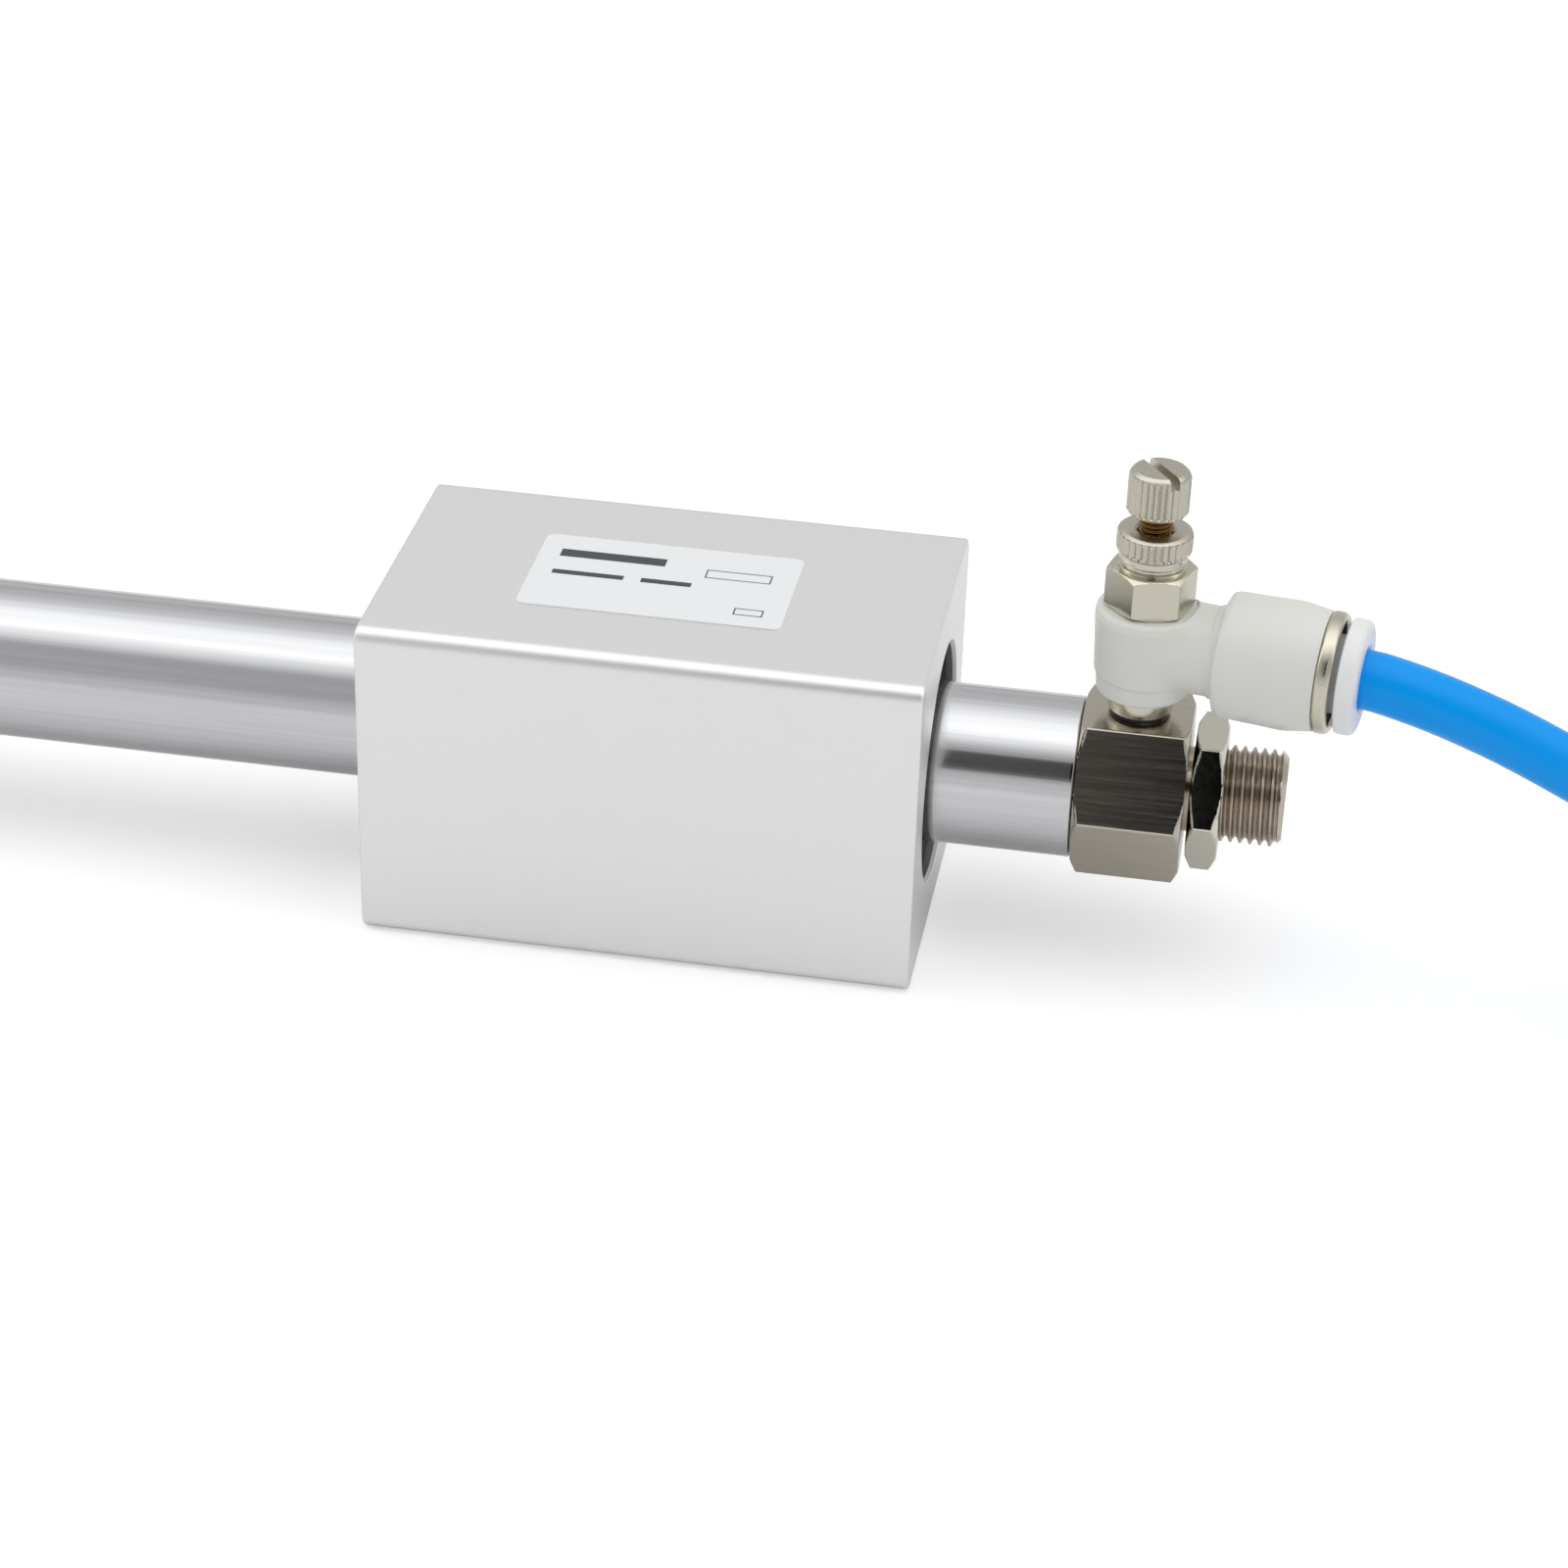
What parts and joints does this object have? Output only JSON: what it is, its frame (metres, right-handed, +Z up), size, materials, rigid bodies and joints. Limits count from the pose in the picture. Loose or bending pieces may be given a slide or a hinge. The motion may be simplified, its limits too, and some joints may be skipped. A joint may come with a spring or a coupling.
{
  "type": "rodless pneumatic cylinder",
  "caption": "Magnetically coupled rodless air cylinder: a square carriage on a thin polished tube between hexagonal end covers, with an elbow speed controller and hose on one port.",
  "frame": {"origin": "on the tube axis, at the shoulder of the left end cover where its threaded nose starts", "axes": "+X along the tube to the right end cover, +Z up through the ports, +Y away from the viewer"},
  "size_m": [0.5691, 0.0557, 0.053],
  "materials": {
    "tube_steel": "ground and polished stainless",
    "nickel_plate": "nickel plated over turned brass",
    "anodised_aluminium": "clear satin anodised",
    "bare_aluminium": "turned",
    "label_film": "silver film",
    "magnet": "plated ring magnet",
    "yoke_iron": "zinc plated iron",
    "shaft_steel": "turned steel",
    "spring_steel": "blackened spring steel",
    "wear_resin": "filled bearing resin",
    "felt": "oiled felt",
    "seal_rubber": "nitrile rubber",
    "elbow_resin": "moulded, satin",
    "button_resin": "moulded, satin",
    "hose_blue": "glossy polyurethane",
    "tie_plastic": "moulded nylon",
    "needle_brass": "turned brass"
  },
  "bodies": {
    "cylinder": {"cylinder_tube": "tube_steel", "left_end_cover": "nickel_plate", "right_end_cover": "nickel_plate", "cover_orings": "seal_rubber", "bumpers": "seal_rubber", "valve_stem": "nickel_plate", "port_gasket": "seal_rubber", "stem_orings": "seal_rubber", "check_seal": "seal_rubber"},
    "left_nut": {"left_mounting_nut": "nickel_plate"},
    "right_nut": {"right_mounting_nut": "nickel_plate"},
    "piston": {"piston_shaft": "shaft_steel", "left_piston_head": "bare_aluminium", "right_piston_head": "bare_aluminium", "left_piston_seal": "seal_rubber", "right_piston_seal": "seal_rubber", "left_wear_ring": "wear_resin", "right_wear_ring": "wear_resin", "inner_magnet_1": "magnet", "inner_magnet_2": "magnet", "inner_magnet_3": "magnet", "inner_magnet_4": "magnet", "inner_yoke_1": "yoke_iron", "inner_yoke_2": "yoke_iron", "inner_yoke_3": "yoke_iron", "inner_yoke_4": "yoke_iron", "inner_yoke_5": "yoke_iron"},
    "carriage": {"carriage_block": "anodised_aluminium", "carriage_label": "label_film", "magnet_sleeve": "bare_aluminium", "outer_magnet_1": "magnet", "outer_magnet_2": "magnet", "outer_magnet_3": "magnet", "outer_magnet_4": "magnet", "outer_yoke_1": "yoke_iron", "outer_yoke_2": "yoke_iron", "outer_yoke_3": "yoke_iron", "outer_yoke_4": "yoke_iron", "outer_yoke_5": "yoke_iron", "left_wear_bush": "wear_resin", "right_wear_bush": "wear_resin", "felt_rings": "felt", "left_spacer_washer": "shaft_steel", "right_spacer_washer": "shaft_steel", "left_retaining_ring": "spring_steel", "right_retaining_ring": "spring_steel"},
    "elbow": {"elbow_body": "elbow_resin", "guide_ring": "nickel_plate", "collet": "spring_steel", "tube_seal": "seal_rubber", "hose": "hose_blue", "hose_coil": "hose_blue", "coil_tie": "tie_plastic"},
    "button": {"release_button": "button_resin"},
    "needle_seal": {"needle_oring": "seal_rubber"},
    "needle_screw": {"needle": "needle_brass", "needle_knob": "nickel_plate"},
    "lock_nut": {"lock_nut": "nickel_plate"}
  },
  "joints": [
    {"name": "piston_travel", "type": "slide", "parent": "cylinder", "child": "piston", "axis": [1, 0, 0], "range_m": [-0.2875, 0.0125]},
    {"name": "carriage_spin", "type": "hinge", "parent": "piston", "child": "carriage", "pos_m": [0.329, 0, 0], "axis": [1, 0, 0], "continuous": true},
    {"name": "elbow_swivel", "type": "hinge", "parent": "cylinder", "child": "elbow", "pos_m": [0.3775, 0, 0.01665], "axis": [0, 0, 1], "range_deg": [-81, 99]},
    {"name": "button_press", "type": "slide", "parent": "elbow", "child": "button", "axis": [-0.9877, 0.1564, 0], "range_m": [0, 0.00045], "stiffness_N_per_m": 600, "springref_m": -0.001},
    {"name": "needle_turn", "type": "hinge", "parent": "needle_seal", "child": "needle_screw", "pos_m": [0.3775, 0, 0.03], "axis": [0, 0, 1], "range_deg": [-1081, 1081]},
    {"name": "needle_lift", "type": "slide", "parent": "cylinder", "child": "needle_seal", "axis": [0, 0, 1], "range_m": [-0.0015, 0.0015]},
    {"name": "lock_nut_turn", "type": "hinge", "parent": "cylinder", "child": "lock_nut", "pos_m": [0.3775, 0, 0.028], "axis": [0, 0, 1], "range_deg": [0, 1080]},
    {"name": "left_nut_turn", "type": "hinge", "parent": "cylinder", "child": "left_nut", "pos_m": [-0.0021, 0, 0], "axis": [-1, 0, 0], "range_deg": [-180, 2268]},
    {"name": "right_nut_turn", "type": "hinge", "parent": "cylinder", "child": "right_nut", "pos_m": [0.3851, 0, 0], "axis": [1, 0, 0], "range_deg": [-180, 2268]}
  ],
  "couplings": [
    {"joint": "needle_turn", "follows": "needle_lift", "rad_per_m": 12566}
  ]
}
